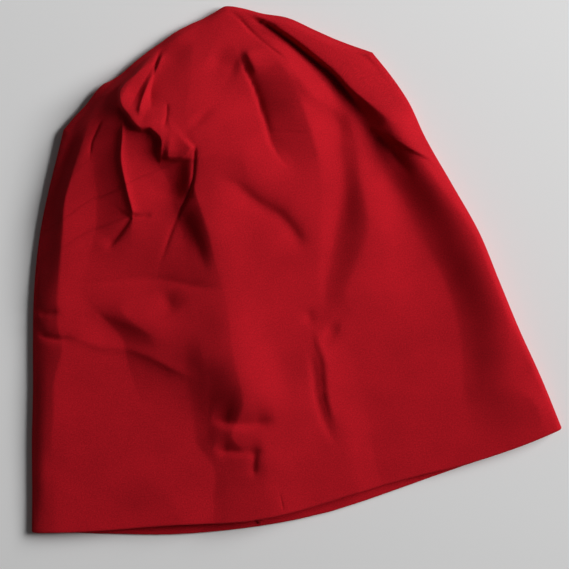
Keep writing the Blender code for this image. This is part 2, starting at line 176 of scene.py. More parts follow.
# %% Lines of the broad folds
LINES = [
    # name, sharpness, rows of (up, across, height in mm)
    ("foot of the left side", 0.1, [
        (-0.05, 0.010, 4.5), (0.00, 0.018, 4.7), (0.06, 0.028, 5.3), (0.12, 0.039, 5.5),
        (0.18, 0.050, 5.8), (0.24, 0.061, 5.9), (0.30, 0.073, 6.0), (0.36, 0.086, 6.1),
        (0.42, 0.094, 6.4), (0.48, 0.106, 6.4), (0.54, 0.122, 6.2), (0.60, 0.138, 6.0),
        (0.66, 0.156, 6.0), (0.72, 0.184, 6.4), (0.78, 0.212, 6.4), (0.812, 0.222, 6.6),
        (0.832, 0.236, 6.2), (0.857, 0.266, 6.1), (0.90, 0.330, 6.0), (0.95, 0.412, 5.8)]),
    ("left shoulder", 0.4, [
        (-0.05, 0.040, 5.6), (0.00, 0.045, 5.8), (0.06, 0.055, 6.8), (0.12, 0.062, 6.4),
        (0.18, 0.070, 7.2), (0.24, 0.085, 7.8), (0.30, 0.097, 8.1), (0.36, 0.122, 9.3),
        (0.42, 0.124, 9.2), (0.48, 0.136, 9.9), (0.54, 0.151, 10.6), (0.60, 0.166, 10.9),
        (0.66, 0.180, 11.0), (0.72, 0.206, 11.2), (0.78, 0.236, 11.4), (0.83, 0.262, 10.2),
        (0.88, 0.310, 8.6), (0.93, 0.383, 6.2)]),
    ("foot of the left fold", 0.3, [
        (-0.05, 0.195, 6.0), (0.00, 0.190, 6.2), (0.06, 0.130, 7.3), (0.12, 0.150, 7.5),
        (0.18, 0.260, 8.1), (0.24, 0.245, 7.6), (0.30, 0.237, 8.0), (0.36, 0.235, 7.9),
        (0.42, 0.203, 7.8), (0.46, 0.180, 8.6), (0.54, 0.205, 9.8), (0.60, 0.228, 10.1),
        (0.66, 0.240, 10.7), (0.72, 0.246, 12.3), (0.78, 0.262, 13.0), (0.83, 0.284, 12.6),
        (0.88, 0.326, 10.0), (0.93, 0.392, 6.6)]),
    ("crest of the left", 0.5, [
        (-0.05, 0.280, 7.2), (0.00, 0.268, 7.6), (0.06, 0.250, 8.8), (0.12, 0.300, 8.6),
        (0.18, 0.320, 8.8), (0.24, 0.300, 9.1), (0.30, 0.300, 11.4), (0.36, 0.285, 12.4),
        (0.42, 0.245, 10.7), (0.46, 0.262, 9.4), (0.50, 0.275, 9.8), (0.54, 0.283, 11.9),
        (0.60, 0.296, 14.9), (0.66, 0.299, 14.9), (0.72, 0.301, 16.8), (0.78, 0.305, 16.8),
        (0.83, 0.312, 16.2), (0.88, 0.345, 11.4), (0.93, 0.405, 7.0)]),
    ("hollow by the crest", 0.2, [
        (-0.05, 0.335, 6.6), (0.00, 0.344, 7.0), (0.06, 0.355, 8.6), (0.12, 0.332, 8.6),
        (0.18, 0.338, 9.0), (0.24, 0.338, 10.8), (0.30, 0.345, 14.4), (0.36, 0.345, 14.8),
        (0.42, 0.322, 11.3), (0.48, 0.325, 10.1), (0.54, 0.345, 13.3), (0.60, 0.352, 14.2),
        (0.66, 0.350, 13.0), (0.72, 0.336, 16.4), (0.78, 0.340, 19.0), (0.83, 0.345, 16.6),
        (0.88, 0.372, 11.2), (0.93, 0.420, 7.6)]),
    ("foot of the middle panel", 0.3, [
        (-0.05, 0.365, 7.6), (0.00, 0.370, 8.2), (0.06, 0.376, 9.7), (0.12, 0.354, 10.0),
        (0.18, 0.366, 11.0), (0.24, 0.374, 14.4), (0.30, 0.376, 17.6), (0.36, 0.380, 16.2),
        (0.42, 0.372, 13.9), (0.48, 0.376, 13.3), (0.54, 0.384, 14.0), (0.60, 0.376, 14.4),
        (0.66, 0.376, 13.2), (0.70, 0.366, 14.0), (0.74, 0.384, 18.4), (0.78, 0.390, 19.4),
        (0.83, 0.398, 17.2), (0.88, 0.415, 12.8), (0.93, 0.440, 8.2)]),
    ("edge of the middle panel", 0.3, [
        (-0.05, 0.445, 8.6), (0.00, 0.440, 9.6), (0.06, 0.446, 13.0), (0.09, 0.412, 13.6),
        (0.12, 0.400, 14.6), (0.15, 0.416, 17.0), (0.18, 0.431, 19.2), (0.24, 0.432, 19.8),
        (0.30, 0.430, 20.2), (0.36, 0.436, 18.9), (0.42, 0.436, 16.4), (0.48, 0.432, 17.6),
        (0.54, 0.430, 19.4), (0.60, 0.424, 20.3), (0.66, 0.420, 19.2), (0.70, 0.434, 20.0),
        (0.74, 0.440, 20.4), (0.78, 0.430, 19.5), (0.83, 0.442, 17.6), (0.88, 0.455, 14.2),
        (0.91, 0.462, 11.8), (0.94, 0.474, 8.6), (0.965, 0.484, 6.8)]),
    ("fall of the middle panel", 0.1, [
        (-0.05, 0.520, 6.8), (0.00, 0.520, 7.2), (0.06, 0.500, 10.2), (0.12, 0.512, 11.4),
        (0.18, 0.524, 12.8), (0.24, 0.514, 13.4), (0.30, 0.510, 13.6), (0.36, 0.510, 14.4),
        (0.42, 0.510, 12.6), (0.48, 0.510, 14.0), (0.54, 0.510, 15.3), (0.60, 0.515, 18.0),
        (0.66, 0.520, 19.0), (0.72, 0.510, 17.6), (0.78, 0.495, 17.1), (0.84, 0.500, 14.2),
        (0.88, 0.505, 12.6), (0.91, 0.508, 11.2), (0.94, 0.510, 8.6), (0.965, 0.508, 6.8)]),
    ("narrow valley", 0.5, [
        (-0.05, 0.570, 6.2), (0.00, 0.568, 6.5), (0.06, 0.568, 8.2), (0.12, 0.572, 8.9),
        (0.18, 0.570, 10.0), (0.24, 0.578, 11.8), (0.30, 0.580, 11.3), (0.36, 0.592, 10.9),
        (0.42, 0.594, 9.8), (0.48, 0.590, 11.8), (0.54, 0.580, 14.4), (0.60, 0.598, 14.4),
        (0.66, 0.604, 12.4), (0.69, 0.588, 12.6), (0.72, 0.578, 12.8), (0.78, 0.566, 11.4),
        (0.84, 0.556, 13.2), (0.88, 0.548, 13.0), (0.91, 0.538, 11.0), (0.94, 0.530, 8.2),
        (0.965, 0.526, 6.6)]),
    ("ridge of the crown seam", 0.5, [
        (-0.05, 0.605, 5.8), (0.00, 0.606, 6.1), (0.06, 0.607, 7.2), (0.12, 0.605, 8.2),
        (0.18, 0.604, 9.2), (0.24, 0.604, 10.8), (0.30, 0.604, 11.0), (0.36, 0.606, 10.3),
        (0.42, 0.613, 9.2), (0.476, 0.627, 10.1), (0.54, 0.638, 11.4), (0.60, 0.650, 11.7),
        (0.646, 0.653, 12.1), (0.70, 0.650, 13.6), (0.75, 0.645, 15.2), (0.80, 0.636, 15.4),
        (0.85, 0.622, 14.8), (0.90, 0.592, 9.4), (0.94, 0.566, 6.6), (0.97, 0.552, 5.9)]),
    ("valley between the ridges", 0.3, [
        (-0.05, 0.655, 4.2), (0.00, 0.650, 4.4), (0.06, 0.650, 4.7), (0.12, 0.650, 5.6),
        (0.18, 0.650, 7.0), (0.24, 0.646, 8.6), (0.30, 0.632, 11.2), (0.36, 0.614, 9.9),
        (0.42, 0.634, 7.8), (0.47, 0.651, 7.5), (0.51, 0.665, 7.6), (0.555, 0.682, 7.8),
        (0.60, 0.692, 7.3), (0.66, 0.698, 6.7), (0.72, 0.702, 5.8), (0.78, 0.662, 14.4),
        (0.84, 0.638, 14.0), (0.88, 0.621, 11.0), (0.93, 0.582, 6.2), (0.96, 0.566, 5.8)]),
    ("second ridge", 0.4, [
        (-0.05, 0.730, 4.2), (0.00, 0.725, 4.4), (0.06, 0.720, 4.4), (0.12, 0.720, 5.0),
        (0.18, 0.712, 5.9), (0.24, 0.700, 6.9), (0.30, 0.664, 10.2), (0.36, 0.654, 11.4),
        (0.42, 0.684, 10.6), (0.48, 0.716, 11.3), (0.54, 0.722, 11.5), (0.60, 0.722, 9.2),
        (0.66, 0.726, 7.2), (0.72, 0.724, 6.1), (0.78, 0.706, 6.6), (0.84, 0.668, 7.6),
        (0.88, 0.643, 7.0), (0.93, 0.600, 5.5), (0.96, 0.574, 5.7)]),
    ("deep valley", 0.1, [
        (-0.05, 0.830, 4.5), (0.00, 0.835, 4.5), (0.06, 0.836, 4.7), (0.12, 0.834, 4.6),
        (0.18, 0.842, 4.6), (0.24, 0.848, 4.6), (0.30, 0.846, 4.6), (0.36, 0.838, 4.5),
        (0.42, 0.820, 4.4), (0.48, 0.805, 4.6), (0.54, 0.790, 4.8), (0.60, 0.772, 5.0),
        (0.66, 0.762, 5.2), (0.70, 0.750, 5.0), (0.74, 0.742, 5.0), (0.78, 0.727, 5.0),
        (0.82, 0.706, 5.0), (0.86, 0.674, 5.0), (0.90, 0.645, 5.2), (0.95, 0.605, 5.4),
        (0.985, 0.565, 5.6)]),
    ("crest of the right roll", 0.0, [
        (-0.05, 0.970, 5.6), (0.00, 0.962, 6.4), (0.06, 0.960, 9.0), (0.12, 0.922, 9.2),
        (0.18, 0.930, 10.4), (0.24, 0.938, 11.0), (0.30, 0.930, 11.7), (0.36, 0.920, 12.0),
        (0.42, 0.908, 12.0), (0.48, 0.890, 12.3), (0.54, 0.864, 12.2), (0.60, 0.840, 12.0),
        (0.66, 0.812, 11.8), (0.70, 0.794, 11.6), (0.74, 0.764, 11.6), (0.78, 0.734, 11.4),
        (0.82, 0.712, 10.8), (0.86, 0.685, 10.0), (0.90, 0.655, 9.0), (0.95, 0.610, 7.6),
        (0.985, 0.572, 6.2)]),
]

ROLL_MIDDLE = (0.25, 0.75)
ROLLS = [
    # up, half height of the roll on the left and on the right in mm
    (-0.10, 1.8, 2.4), (0.00, 1.8, 2.6), (0.06, 1.8, 3.4), (0.12, 1.8, 4.0), (0.18, 1.8, 4.6),
    (0.24, 1.8, 5.0), (0.30, 1.8, 5.3), (0.42, 1.8, 5.5), (0.54, 1.8, 4.8), (0.60, 1.8, 4.0),
    (0.66, 2.0, 3.6), (0.72, 2.2, 3.2), (0.80, 2.4, 2.8), (1.00, 2.6, 2.8),
]

# %% The broad form as a height
LEAST_APART = 1e-5
LEAST_SPAN = 1e-6


def roll_radius(across, up):
    """Half the height of the roll at the folded edge: the left table and the right one, and between them an
    easy passage over the middle of the hat."""
    level = np.clip(up, ROLLS[0][0], ROLLS[-1][0])
    left, right = smooth([row[:2] for row in ROLLS], level), smooth([row[::2] for row in ROLLS], level)
    passage = ease((across - ROLL_MIDDLE[0]) / (ROLL_MIDDLE[1] - ROLL_MIDDLE[0]))
    return (left + (right - left) * passage) * MM


def form_height(across, up):
    """Between two lines, height is a cubic of the share of the way from one to the next. Its slope at a line
    is the mean of the slopes on both sides, pulled towards its own side by the line's sharpness. It is never
    more than three times the rise, and 0 where the cloth turns, so the curve stays between its two lines."""
    left = smooth(LEFT_SIDE, np.clip(up, 0, LEFT_SIDE[-1][0]))
    right = smooth(RIGHT_SIDE, np.clip(up, 0, RIGHT_SIDE[-1][0]))
    place, height, sharp = [left], [2 * roll_radius(left, up)], [0.0]
    for _, sharpness, rows in LINES:
        line = np.array(rows)
        level = np.clip(up, line[0, 0], line[-1, 0])
        place.append(smooth(line[:, :2], level))
        height.append(smooth(line[:, [0, 2]], level) * MM)
        sharp.append(sharpness)
    apart = np.arange(len(place) + 1)[:, None] * LEAST_APART
    place = np.maximum.accumulate(np.array([*place, right]) + apart, axis=0)
    height = np.array([*height, 2 * roll_radius(right, up)])
    sharp = np.array([*sharp, 0.0])[:, None]
    span = np.maximum(np.diff(place, axis=0), LEAST_SPAN)
    rise = np.diff(height, axis=0) / span
    between = (rise[:-1] * span[1:] + rise[1:] * span[:-1]) / (span[1:] + span[:-1])
    mean = np.concatenate([rise[:1], between, rise[-1:]])
    slope_in = mean[:-1] + (rise - mean[:-1]) * sharp[:-1]
    slope_out = mean[1:] + (rise - mean[1:]) * sharp[1:]
    most = 3 * np.abs(rise)
    slope_in = np.where(slope_in * rise > 0, np.clip(slope_in, -most, most), 0)
    slope_out = np.where(slope_out * rise > 0, np.clip(slope_out, -most, most), 0)
    low = np.clip((across[None] > place).sum(0) - 1, 0, len(span) - 1)
    column = np.arange(len(across))
    pick = (low, column)
    q = np.clip((across - place[pick]) / span[pick], 0, 1)
    step = rise[pick] * q ** 2 * (3 - 2 * q)
    step += slope_in[pick] * q * (1 - q) ** 2 + slope_out[pick] * q ** 2 * (q - 1)
    return height[pick] + span[pick] * step


# %% [markdown]
# ## The smaller folds
#
# On the broad form lie the creases that one sees first: the knot where the crown's pleats come together,
# the step below it, and the slanting creases across the left. Each is one row: its height in millimetres
# (below zero for a valley), how far its flank reaches on the left and on the right of the path, how blunt its
# line is, the share of its length over which it fades at each end, and its path. A steep flank on one side
# and a long one on the other makes a fold that leans.

# %% Table of the smaller folds
FOLDS = [
    # name, height, left, right, round, fade at the start, fade at the end, path of (across, up)
    ("edge of the knot", 3.8, 3.6, 0.35, 1.6, 0.35, 0.12, [
        (0.427, 0.960), (0.397, 0.937), (0.369, 0.910), (0.352, 0.892), (0.334, 0.880), (0.3205, 0.8635),
        (0.318, 0.848), (0.321, 0.826), (0.328, 0.8125), (0.336, 0.791), (0.346, 0.777), (0.360, 0.776),
        (0.3685, 0.766), (0.378, 0.749), (0.373, 0.724), (0.363, 0.690)]),
    ("seam of the knot", -0.4, 0.5, 0.5, 0.1, 0.15, 0.15, [
        (0.421, 0.953), (0.398, 0.915), (0.377, 0.888), (0.3545, 0.856), (0.329, 0.819)]),
    ("bright side of the knot", 2.4, 2.0, 1.2, 0.3, 0.2, 0.15, [
        (0.415, 0.935), (0.392, 0.893), (0.374, 0.866), (0.360, 0.840), (0.345, 0.800)]),
    ("dark side of the knot", -2.0, 2.6, 0.9, 0.2, 0.3, 0.25, [
        (0.416, 0.957), (0.400, 0.920), (0.386, 0.882), (0.374, 0.845), (0.370, 0.805)]),
    ("notch by the knot", -1.0, 0.9, 0.9, 0.2, 0.3, 0.3, [
        (0.402, 0.825), (0.395, 0.790), (0.385, 0.765)]),
    ("dent by the knot", -1.0, 4.0, 4.0, 1.0, 0.5, 0.5, [(0.448, 0.790), (0.464, 0.762)]),
    ("facet under the knot", 2.0, 7.0, 0.6, 0.3, 0.15, 0.15, [
        (0.374, 0.711), (0.403, 0.702), (0.437, 0.721)]),
    ("line under the facet", -1.3, 0.7, 0.9, 0.1, 0.05, 0.3, [
        (0.437, 0.722), (0.430, 0.690), (0.412, 0.635), (0.388, 0.600), (0.360, 0.553), (0.335, 0.508),
        (0.322, 0.488)]),
    ("dark flank under the facet", -2.0, 3.5, 4.5, 0.8, 0.1, 0.3, [
        (0.405, 0.705), (0.396, 0.660), (0.385, 0.610)]),
    ("streak of the crest", 1.8, 1.6, 1.2, 0.2, 0.15, 0.05, [
        (0.318, 0.810), (0.309, 0.768), (0.299, 0.725), (0.298, 0.680), (0.302, 0.605)]),
    ("nick under the crest", -1.0, 0.9, 0.9, 0.2, 0.1, 0.4, [
        (0.298, 0.604), (0.318, 0.600), (0.337, 0.603)]),
    ("slant under the crest", -1.4, 1.0, 4.0, 0.2, 0.1, 0.3, [
        (0.300, 0.608), (0.270, 0.575), (0.235, 0.545)]),
    ("thin line of the left", -0.9, 0.8, 0.8, 0.1, 0.2, 0.3, [
        (0.278, 0.815), (0.250, 0.770), (0.240, 0.735)]),
    ("outer line of the left", -1.8, 1.0, 1.0, 0.3, 0.2, 0.2, [
        (0.205, 0.800), (0.235, 0.838), (0.262, 0.868), (0.285, 0.885)]),
    ("branch to the right", -1.6, 3.0, 3.5, 0.6, 0.2, 0.4, [
        (0.382, 0.600), (0.397, 0.555), (0.407, 0.505), (0.412, 0.450)]),
    ("long crease", -0.9, 2.2, 2.2, 0.1, 0.5, 0.2, [
        (0.134, 0.495), (0.250, 0.480), (0.296, 0.475), (0.341, 0.460), (0.385, 0.439), (0.456, 0.417)]),
    ("upper slanting step", 0.8, 8.0, 3.0, 0.4, 0.3, 0.3, [
        (0.170, 0.450), (0.210, 0.420), (0.255, 0.388), (0.335, 0.325)]),
    ("lower slanting step", 1.2, 6.0, 2.2, 0.2, 0.3, 0.2, [
        (0.110, 0.398), (0.139, 0.387), (0.195, 0.353), (0.240, 0.338), (0.278, 0.314), (0.319, 0.278),
        (0.365, 0.245)]),
    ("short valley", -1.5, 4.0, 4.0, 0.6, 0.4, 0.4, [(0.324, 0.448), (0.338, 0.385)]),
    ("edge crease up", -1.2, 1.5, 1.5, 0.2, 0.1, 0.4, [(0.080, 0.452), (0.105, 0.443), (0.140, 0.440)]),
    ("edge crease down", -1.4, 1.5, 1.5, 0.2, 0.1, 0.4, [
        (0.076, 0.412), (0.090, 0.401), (0.120, 0.385), (0.160, 0.378)]),
    ("valley above the lobe", -3.0, 5.0, 1.5, 0.5, 0.25, 0.3, [
        (0.366, 0.166), (0.400, 0.146), (0.435, 0.136), (0.486, 0.132)]),
    ("under the lobe", -2.4, 3.6, 1.4, 0.4, 0.25, 0.3, [
        (0.360, 0.098), (0.392, 0.088), (0.425, 0.079), (0.456, 0.074)]),
    ("line below the lobe", -1.3, 1.6, 3.0, 0.2, 0.3, 0.3, [
        (0.440, 0.086), (0.430, 0.055), (0.424, 0.022)]),
    ("low valley", -1.2, 1.8, 1.4, 0.3, 0.25, 0.3, [
        (0.570, 0.275), (0.569, 0.220), (0.565, 0.160), (0.569, 0.120), (0.580, 0.075), (0.590, 0.040)]),
    ("low ridge", 1.3, 3.0, 0.9, 0.2, 0.2, 0.3, [
        (0.585, 0.310), (0.588, 0.270), (0.592, 0.230), (0.588, 0.185), (0.586, 0.140), (0.596, 0.080)]),
    ("spot left of the low ridge", -1.2, 2.0, 2.0, 0.6, 0.4, 0.4, [(0.580, 0.352), (0.581, 0.308)]),
    ("patch right of the low ridge", -1.0, 3.0, 3.0, 0.8, 0.4, 0.4, [(0.606, 0.306), (0.628, 0.284)]),
    ("slanting hollow", -3.2, 6.0, 3.0, 0.5, 0.2, 0.35, [
        (0.596, 0.458), (0.585, 0.502), (0.567, 0.542), (0.532, 0.578), (0.489, 0.631), (0.456, 0.657)]),
    ("gap of the deep valley", -2.2, 0.9, 0.7, 0.5, 0.1, 0.3, [
        (0.575, 0.972), (0.597, 0.953), (0.6485, 0.895), (0.679, 0.854), (0.709, 0.811), (0.728, 0.775),
        (0.742, 0.745), (0.755, 0.715)]),
    ("gap under the right crease", -2.0, 1.6, 1.6, 0.6, 0.2, 0.5, [
        (0.764, 0.684), (0.788, 0.642), (0.802, 0.608), (0.818, 0.567)]),
    ("right crease", 1.8, 0.6, 5.0, 0.2, 0.1, 0.25, [
        (0.872, 0.585), (0.849, 0.608), (0.808, 0.644), (0.792, 0.661), (0.768, 0.685), (0.752, 0.706)]),
    ("line by the right edge", -0.9, 1.0, 1.6, 0.2, 0.3, 0.3, [
        (0.832, 0.742), (0.820, 0.770), (0.803, 0.795), (0.786, 0.822), (0.764, 0.850), (0.742, 0.868)]),
    ("line of the narrow valley", -2.0, 2.2, 0.7, 0.2, 0.25, 0.3, [
        (0.545, 0.905), (0.554, 0.858), (0.564, 0.808), (0.569, 0.749), (0.574, 0.694), (0.586, 0.660),
        (0.604, 0.628)]),
    ("dark patch under the top", -1.8, 5.0, 4.0, 0.8, 0.4, 0.3, [
        (0.490, 0.906), (0.520, 0.880), (0.548, 0.858)]),
    ("rise under the top", 1.8, 6.0, 1.2, 0.4, 0.3, 0.3, [
        (0.560, 0.905), (0.566, 0.872), (0.573, 0.840)]),
    ("crown seam", -1.1, 0.6, 0.6, 0.1, 0.05, 0.2, [
        (0.539, 0.998), (0.560, 0.968), (0.580, 0.932), (0.602, 0.900), (0.634, 0.856)]),
    ("tick over the hem", -0.4, 0.4, 0.4, 0.1, 0.05, 0.3, [
        (0.4655, -0.052), (0.465, -0.034), (0.4645, -0.018)]),
]
PATH_STEPS = 40
REACHES = 7
RELIEF_FROM = 0.5
RELIEF_OVER = 1.6

# %% The smaller folds as a height


def curve(points):
    """A smooth path through a fold's points, in metres."""
    points = np.array(points) * SIZE
    length = np.concatenate([[0], np.cumsum(np.hypot(*np.diff(points, axis=0).T))])
    at = np.linspace(0, length[-1], PATH_STEPS)
    return np.stack([smooth(np.stack([length, points[:, k]], 1), at) for k in (0, 1)], -1)


def distance_to(points, path):
    """Distance from each point to a path of straight steps, the share of the path where it is shortest, and
    the side: 1 on the right of the path's direction, -1 on the left."""
    best = np.full(len(points), np.inf)
    along, side = np.zeros(len(points)), np.ones(len(points))
    for step_number, (start, end) in enumerate(zip(path[:-1], path[1:])):
        step, away = end - start, points - start
        share = np.clip((away @ step) / (step @ step), 0, 1)
        gap = away - share[:, None] * step
        length = np.hypot(gap[:, 0], gap[:, 1])
        nearer = length < best
        best[nearer] = length[nearer]
        along[nearer] = (step_number + share[nearer]) / (len(path) - 1)
        side[nearer] = np.where((step[1] * gap[:, 0] - step[0] * gap[:, 1])[nearer] < 0, -1.0, 1.0)
    return best, along, side


def fold_relief(points):
    """Sum of the folds: height * exp(round - sqrt(q^2 + round^2)), where q is the distance from the path over
    the reach on that side, and it fades towards both ends of the path. Beyond seven reaches it is nothing."""
    total = np.zeros(len(points))
    for _, height, left, right, blunt, fade_in, fade_out, path in FOLDS:
        path = curve(path)
        far = REACHES * max(left, right) * MM
        near = ((points > path.min(0) - far) & (points < path.max(0) + far)).all(1)
        length, along, side = distance_to(points[near], path)
        q = length / (np.where(side < 0, left, right) * MM)
        fade = ease(along / fade_in) * ease((1 - along) / fade_out)
        total[near] += height * MM * fade * np.exp(blunt - np.sqrt(q ** 2 + blunt ** 2))
    return total


def front_height(points, inset):
    """Outer height of the upper layer: a half round at the folded edge, then the broad form, which fills over
    the fill length, and the smaller folds on it."""
    across, up = points[:, 0] / HEM_WIDTH, points[:, 1] / CROWN_HEIGHT
    radius = roll_radius(across, up)
    turn = np.clip(1 - inset / ROLL_WIDTH, 0, 1)
    beyond = inset - RELIEF_FROM * ROLL_WIDTH
    fill = 1 - np.exp(-np.maximum(beyond, 0) / FILL_LENGTH)
    height = radius * (1 + np.sqrt(1 - turn ** 2)) + (form_height(across, up) - 2 * radius) * fill
    return height + fold_relief(points) * ease(beyond / (RELIEF_OVER * ROLL_WIDTH))


def back_height(points, inset):
    """Outer height of the lower layer: the lower half of the round, and then flat on the table."""
    radius = roll_radius(*(points / SIZE).T)
    turn = np.clip(1 - inset / radius, 0, 1)
    return radius * (1 - np.sqrt(1 - turn ** 2))


# %% [markdown]
# ## The mesh of the shell
#
# The tube is four sheets of grid: the outer front, the outer back, and inside them the inner front and the
# inner back. They share their side columns and their crown row, and a rounded lip joins the outer pair to
# the inner pair around the hem, where the cloth is turned in. So the shell is one closed surface with a
# real thickness. Only the outer front shows from above, so it gets the finest grid, and the columns of the
# other sheets are some of its columns. Where a fine row meets a coarse one, a band of triangles joins them.
# The inner front is coarser, so it follows the lowest of nine outer places around each of its own.

# %% Columns and rows of the grid
ROLL_COLUMNS = 9
ROLL_SHARE = 0.026
COLUMNS = 262
ROWS = 264
INNER_ROWS = 92
TOP_SHARE = 0.030
LIP_STEPS = 8
HEM_INSET = 0.0035
EDGE_EVERY = 3
BACK_EVERY = 12
INNER_EVERY = 2
DENSITY_STEPS = 2000
TICK_ACROSS = 0.4651
TICK_STEP = 0.0012
COLUMN_DENSITY = [
    # across, density
    (0.0, 1.3), (0.10, 1.3), (0.15, 2.0), (0.40, 2.0), (0.46, 1.0), (1.0, 0.9),
]
ROW_DENSITY = [
    # up, density
    (0.0, 0.8), (0.60, 0.9), (0.68, 1.6), (0.95, 1.6), (1.0, 1.2),
]


def crowded(count, share):
    """count steps from 0 to share, close together at 0: share * (k / count)^2."""
    return share * (np.arange(count) / count) ** 2


def spread(density, low, high, count):
    """count places from low to high, as close together as the density there: the places where the summed
    density passes even steps."""
    at = np.linspace(low, high, DENSITY_STEPS)
    summed = np.cumsum(np.interp(at, *np.array(density).T))
    return np.interp(np.linspace(summed[0], summed[-1], count), summed, at)


tick = TICK_ACROSS + TICK_STEP * np.arange(-2, 3)
middle = spread(COLUMN_DENSITY, ROLL_SHARE, 1 - ROLL_SHARE, COLUMNS - 2 * ROLL_COLUMNS)
edge = crowded(ROLL_COLUMNS, ROLL_SHARE)
ACROSS = np.concatenate([edge, np.sort(np.concatenate([middle, tick])), 1 - edge[::-1]])
lower = spread(ROW_DENSITY, HEM_INSET, 1 - TOP_SHARE, ROWS - ROLL_COLUMNS + 1)
UP = np.concatenate([lower, 1 - crowded(ROLL_COLUMNS, TOP_SHARE)[::-1]])
INNER_UP = HEM_INSET + (1 - WALL / CROWN_HEIGHT - HEM_INSET) * np.linspace(0, 1, INNER_ROWS + 1)
every = np.arange(len(ACROSS))
at_edge = (every <= ROLL_COLUMNS) | (every >= len(ACROSS) - 1 - ROLL_COLUMNS)
in_back = (at_edge & (every % EDGE_EVERY == 0)) | (every % BACK_EVERY == 0) | (every == every[-1])
BACK_COLUMNS = every[in_back]
INNER_COLUMNS = every[at_edge | (every % INNER_EVERY == 0)]
print("columns", len(ACROSS), "rows", len(UP), "back columns", len(BACK_COLUMNS))

# %% Points of the four sheets
NEAR = 0.0012
OWN_SHARE = 0.25


def lowest_near(points):
    """Lowest outer height of nine places around each point, so that the coarse inner sheet stays under every
    narrow fold of the fine outer one."""
    places = [points + (dx, dy) for dx in (-NEAR, 0, NEAR) for dy in (-NEAR, 0, NEAR)]
    return np.min([front_height(place, distance_to(place, OUTLINE)[0]) for place in places], axis=0)


def inner_height(points, depth, upper):
    """Inner side of one layer. Both layers start at the same level at the inner fold line, and leave it in
    a round: the upper one towards the outer height less the wall, and the lower one towards one wall over
    the table. Depth is the distance from the inner fold line."""
    radius = roll_radius(*(points / SIZE).T)
    outer = front_height(points, depth + WALL)
    level = np.maximum(np.minimum(radius, outer / 2), WALL + LEAST_HOLLOW / 2)
    opened = np.sqrt(1 - np.clip(1 - depth / (radius - WALL), 0, 1) ** 2)
    if upper:
        return level + np.maximum(lowest_near(points) - WALL - level, LEAST_HOLLOW) * opened
    return level - (level - WALL) * opened


def outer_points(across, up, hem, layer):
    """Points of one outer sheet as an array of rows, columns, 3. It is closed at the sides and the crown."""
    s, t = np.meshgrid(across, up)
    flat = plan(s.ravel(), t.ravel(), hem)
    folded = ((s <= 0) | (s >= 1) | (t >= 1)).ravel()
    inset = np.where(folded, 0.0, distance_to(flat, OUTLINE)[0])
    return np.column_stack([flat, layer(flat, inset)]).reshape(*s.shape, 3)


def inner_points(across, up, hem, upper):
    """Points of one inner sheet. It is drawn in by the wall, and its depth is at least a quarter of the way
    from its own sides and crown, where the outline is slanted."""
    s, t = np.meshgrid(across, up)
    flat = plan((WALL / HEM_WIDTH + (1 - 2 * WALL / HEM_WIDTH) * s).ravel(), t.ravel(), hem)
    own = np.minimum(np.minimum(s, 1 - s) * HEM_WIDTH, (up[-1] - t) * CROWN_HEIGHT).ravel()
    depth = np.where(own <= 0, 0.0, np.maximum(distance_to(flat, OUTLINE)[0] - WALL, own * OWN_SHARE))
    return np.column_stack([flat, inner_height(flat, depth, upper)]).reshape(*s.shape, 3)


outer_front = outer_points(ACROSS, UP, FRONT_HEM, front_height)
outer_back = outer_points(ACROSS[BACK_COLUMNS], UP, BACK_HEM, back_height)
inner_front = inner_points(ACROSS, INNER_UP, FRONT_HEM, True)
inner_back = inner_points(ACROSS[BACK_COLUMNS], INNER_UP, BACK_HEM, False)
low, high = outer_front.reshape(-1, 3).min(0), outer_front.reshape(-1, 3).max(0)
print("front", low, high)

# %% Faces of grids, bands and loops


def grid_corners(grid, flip=False):
    """The four corners of each cell of a grid of indices or of UVs, anticlockwise seen from above. A cell is
    split from its first corner, and the left and right halves start at different ones, so that the diagonals
    leave the two upper corners of the sheet free for the band that closes the crown."""
    corners = [grid[:-1, :-1], grid[:-1, 1:], grid[1:, 1:], grid[1:, :-1]]
    corners = np.stack(corners[::-1] if flip else corners, 2)
    middle = corners.shape[1] // 2
    turned = slice(middle, None) if flip else slice(0, middle)
    corners[:, turned] = np.roll(corners[:, turned], 1, axis=2)
    return corners.reshape(-1, 4, *grid.shape[2:])


def band_corners(fine, coarse, columns, fine_is_upper, flip=False):
    """Triangles between a fine row and a coarse row whose places are columns of the fine one. Each fine step
    goes to the nearer coarse point, and each coarse step to the fine point where that changes."""
    step = np.arange(len(fine) - 1)
    owner = np.abs(step[:, None] + 0.5 - columns[None]).argmin(1)
    change = np.searchsorted(owner, np.arange(1, len(columns)))
    first = np.stack([fine[step + 1], fine[step], coarse[owner]], 1)
    second = np.stack([coarse[:-1], coarse[1:], fine[change]], 1)
    flip = flip != (not fine_is_upper)
    faces = np.concatenate([first, second])
    return faces[:, ::-1] if flip else faces


def ring_corners(rings):
    """Cells of closed rings, from the outer ring to the inner one."""
    beside = np.roll(rings, -1, axis=1)
    corners = [rings[:-1], rings[1:], beside[1:], beside[:-1]]
    return np.stack(corners, 2).reshape(-1, 4, *rings.shape[2:])


# %% [markdown]
# ## The lip of the hem
#
# At the hem the cloth is turned in on itself, with no stitching that shows. The lip is a half round between
# the outer and the inner edge: middle + half * cos(angle) + outward * length of half * sin(angle), with the
# angle from 0 to 180 degrees, all around the mouth. Outward is the direction in the plan that the rows of
# the grid come from.

